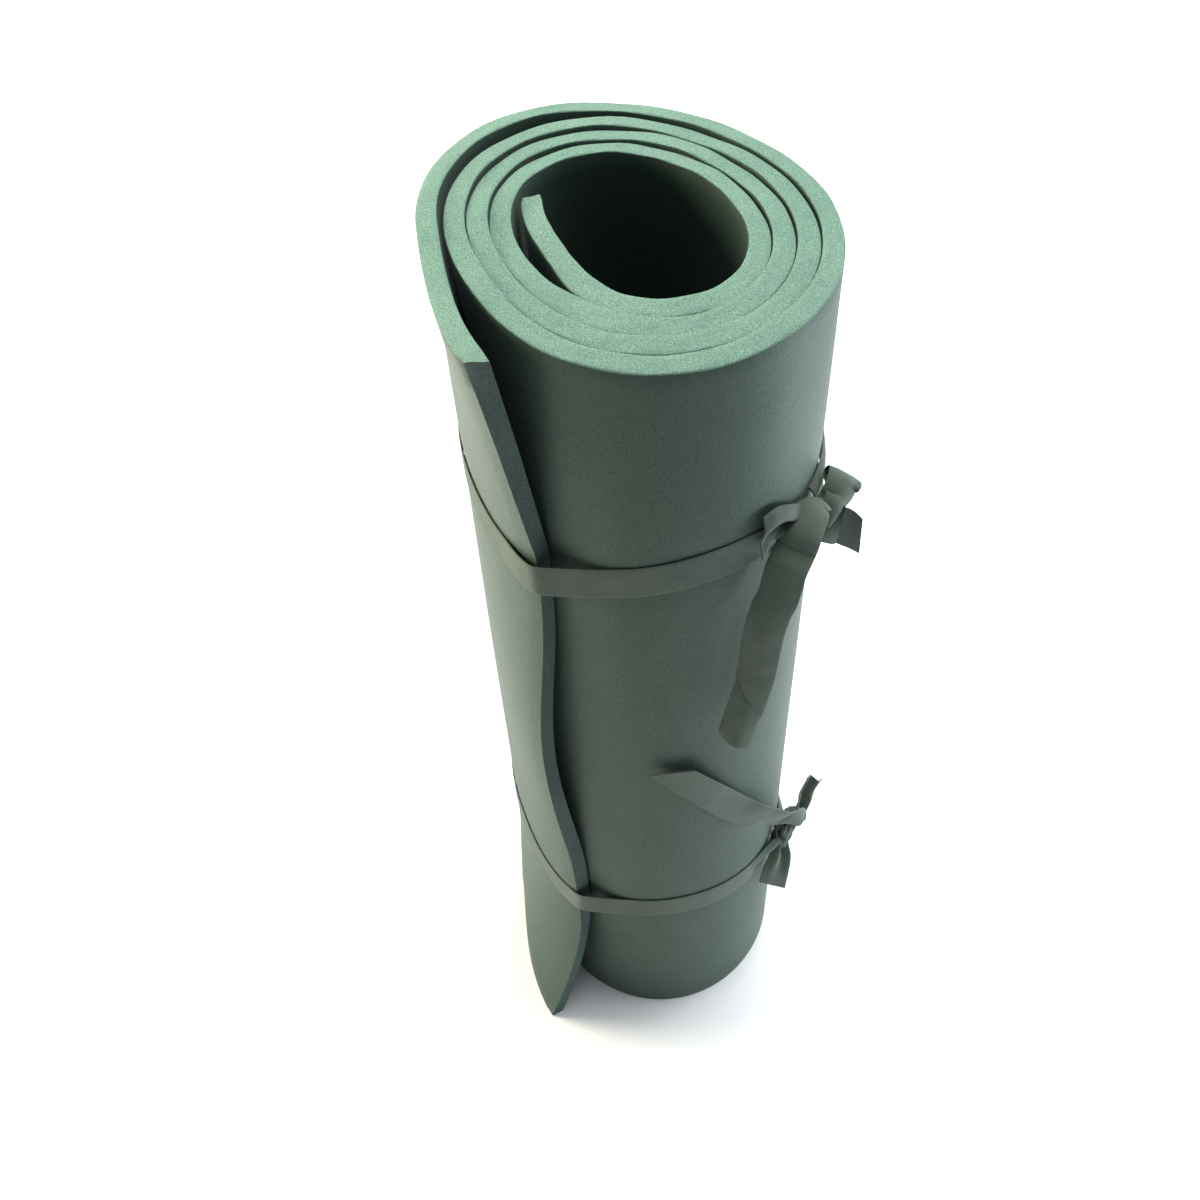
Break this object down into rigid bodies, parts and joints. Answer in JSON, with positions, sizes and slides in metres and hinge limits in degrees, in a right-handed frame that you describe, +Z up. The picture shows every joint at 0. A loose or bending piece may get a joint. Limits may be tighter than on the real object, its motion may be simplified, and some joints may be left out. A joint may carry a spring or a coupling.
{
  "type": "foam sleeping mat",
  "caption": "Closed-cell foam sleeping mat rolled into an upright cylinder with a hollow core and held by tied webbing tapes with loose ends.",
  "frame": {"origin": "the middle of the bounding box, in the plane of the lower cut edge that the roll stands on", "axes": "+Z up along the roll; -Y towards the side where the outer flap ends; +X towards the knots"},
  "size_m": [0.212, 0.203, 0.61],
  "materials": {
    "foam": "closed-cell polyethylene foam: fine pebbled skin, coarser speckle on the cut edges, matt",
    "tape": "flat woven webbing with a fine twill, matt olive green"
  },
  "bodies": {
    "roll": {"mat_roll": "foam", "upper_tie_band": "tape", "upper_tie_knot": "tape", "upper_tie_short_end": "tape", "lower_tie_band": "tape", "lower_tie_knot": "tape"},
    "upper_hanging_tail": {"upper_tie_hanging_tail": "tape"},
    "upper_side_tail": {"upper_tie_side_tail": "tape"},
    "upper_bow_loop": {"upper_tie_bow_loop": "tape"},
    "lower_long_tail": {"lower_tie_long_tail": "tape"},
    "lower_up_tail": {"lower_tie_up_tail": "tape"},
    "lower_fan_tail": {"lower_tie_fan_tail": "tape"}
  },
  "joints": [
    {"name": "upper_hanging_tail_bend", "type": "hinge", "parent": "roll", "child": "upper_hanging_tail", "pos_m": [0.0722, -0.057, 0.4922], "axis": [-0.8348, 0.4754, 0.2776], "range_deg": [-1, 60]},
    {"name": "upper_side_tail_bend", "type": "hinge", "parent": "roll", "child": "upper_side_tail", "pos_m": [0.0812, -0.0512, 0.4769], "axis": [-0.2803, -0.7844, -0.5533], "range_deg": [-25, 25]},
    {"name": "upper_bow_loop_bend", "type": "hinge", "parent": "roll", "child": "upper_bow_loop", "pos_m": [0.0807, -0.0452, 0.4886], "axis": [0.641, -0.7432, -0.192], "range_deg": [-15, 25]},
    {"name": "lower_long_tail_bend", "type": "hinge", "parent": "roll", "child": "lower_long_tail", "pos_m": [0.0877, -0.0386, 0.1566], "axis": [0.8425, 0.537, -0.0419], "range_deg": [0, 50]},
    {"name": "lower_up_tail_bend", "type": "hinge", "parent": "roll", "child": "lower_up_tail", "pos_m": [0.0841, -0.0319, 0.1574], "axis": [0.7577, 0.183, -0.6264], "range_deg": [-12, 20]},
    {"name": "lower_fan_tail_bend", "type": "hinge", "parent": "roll", "child": "lower_fan_tail", "pos_m": [0.0788, -0.0425, 0.1393], "axis": [-0.9236, -0.2786, 0.2635], "range_deg": [-3, 45]}
  ]
}
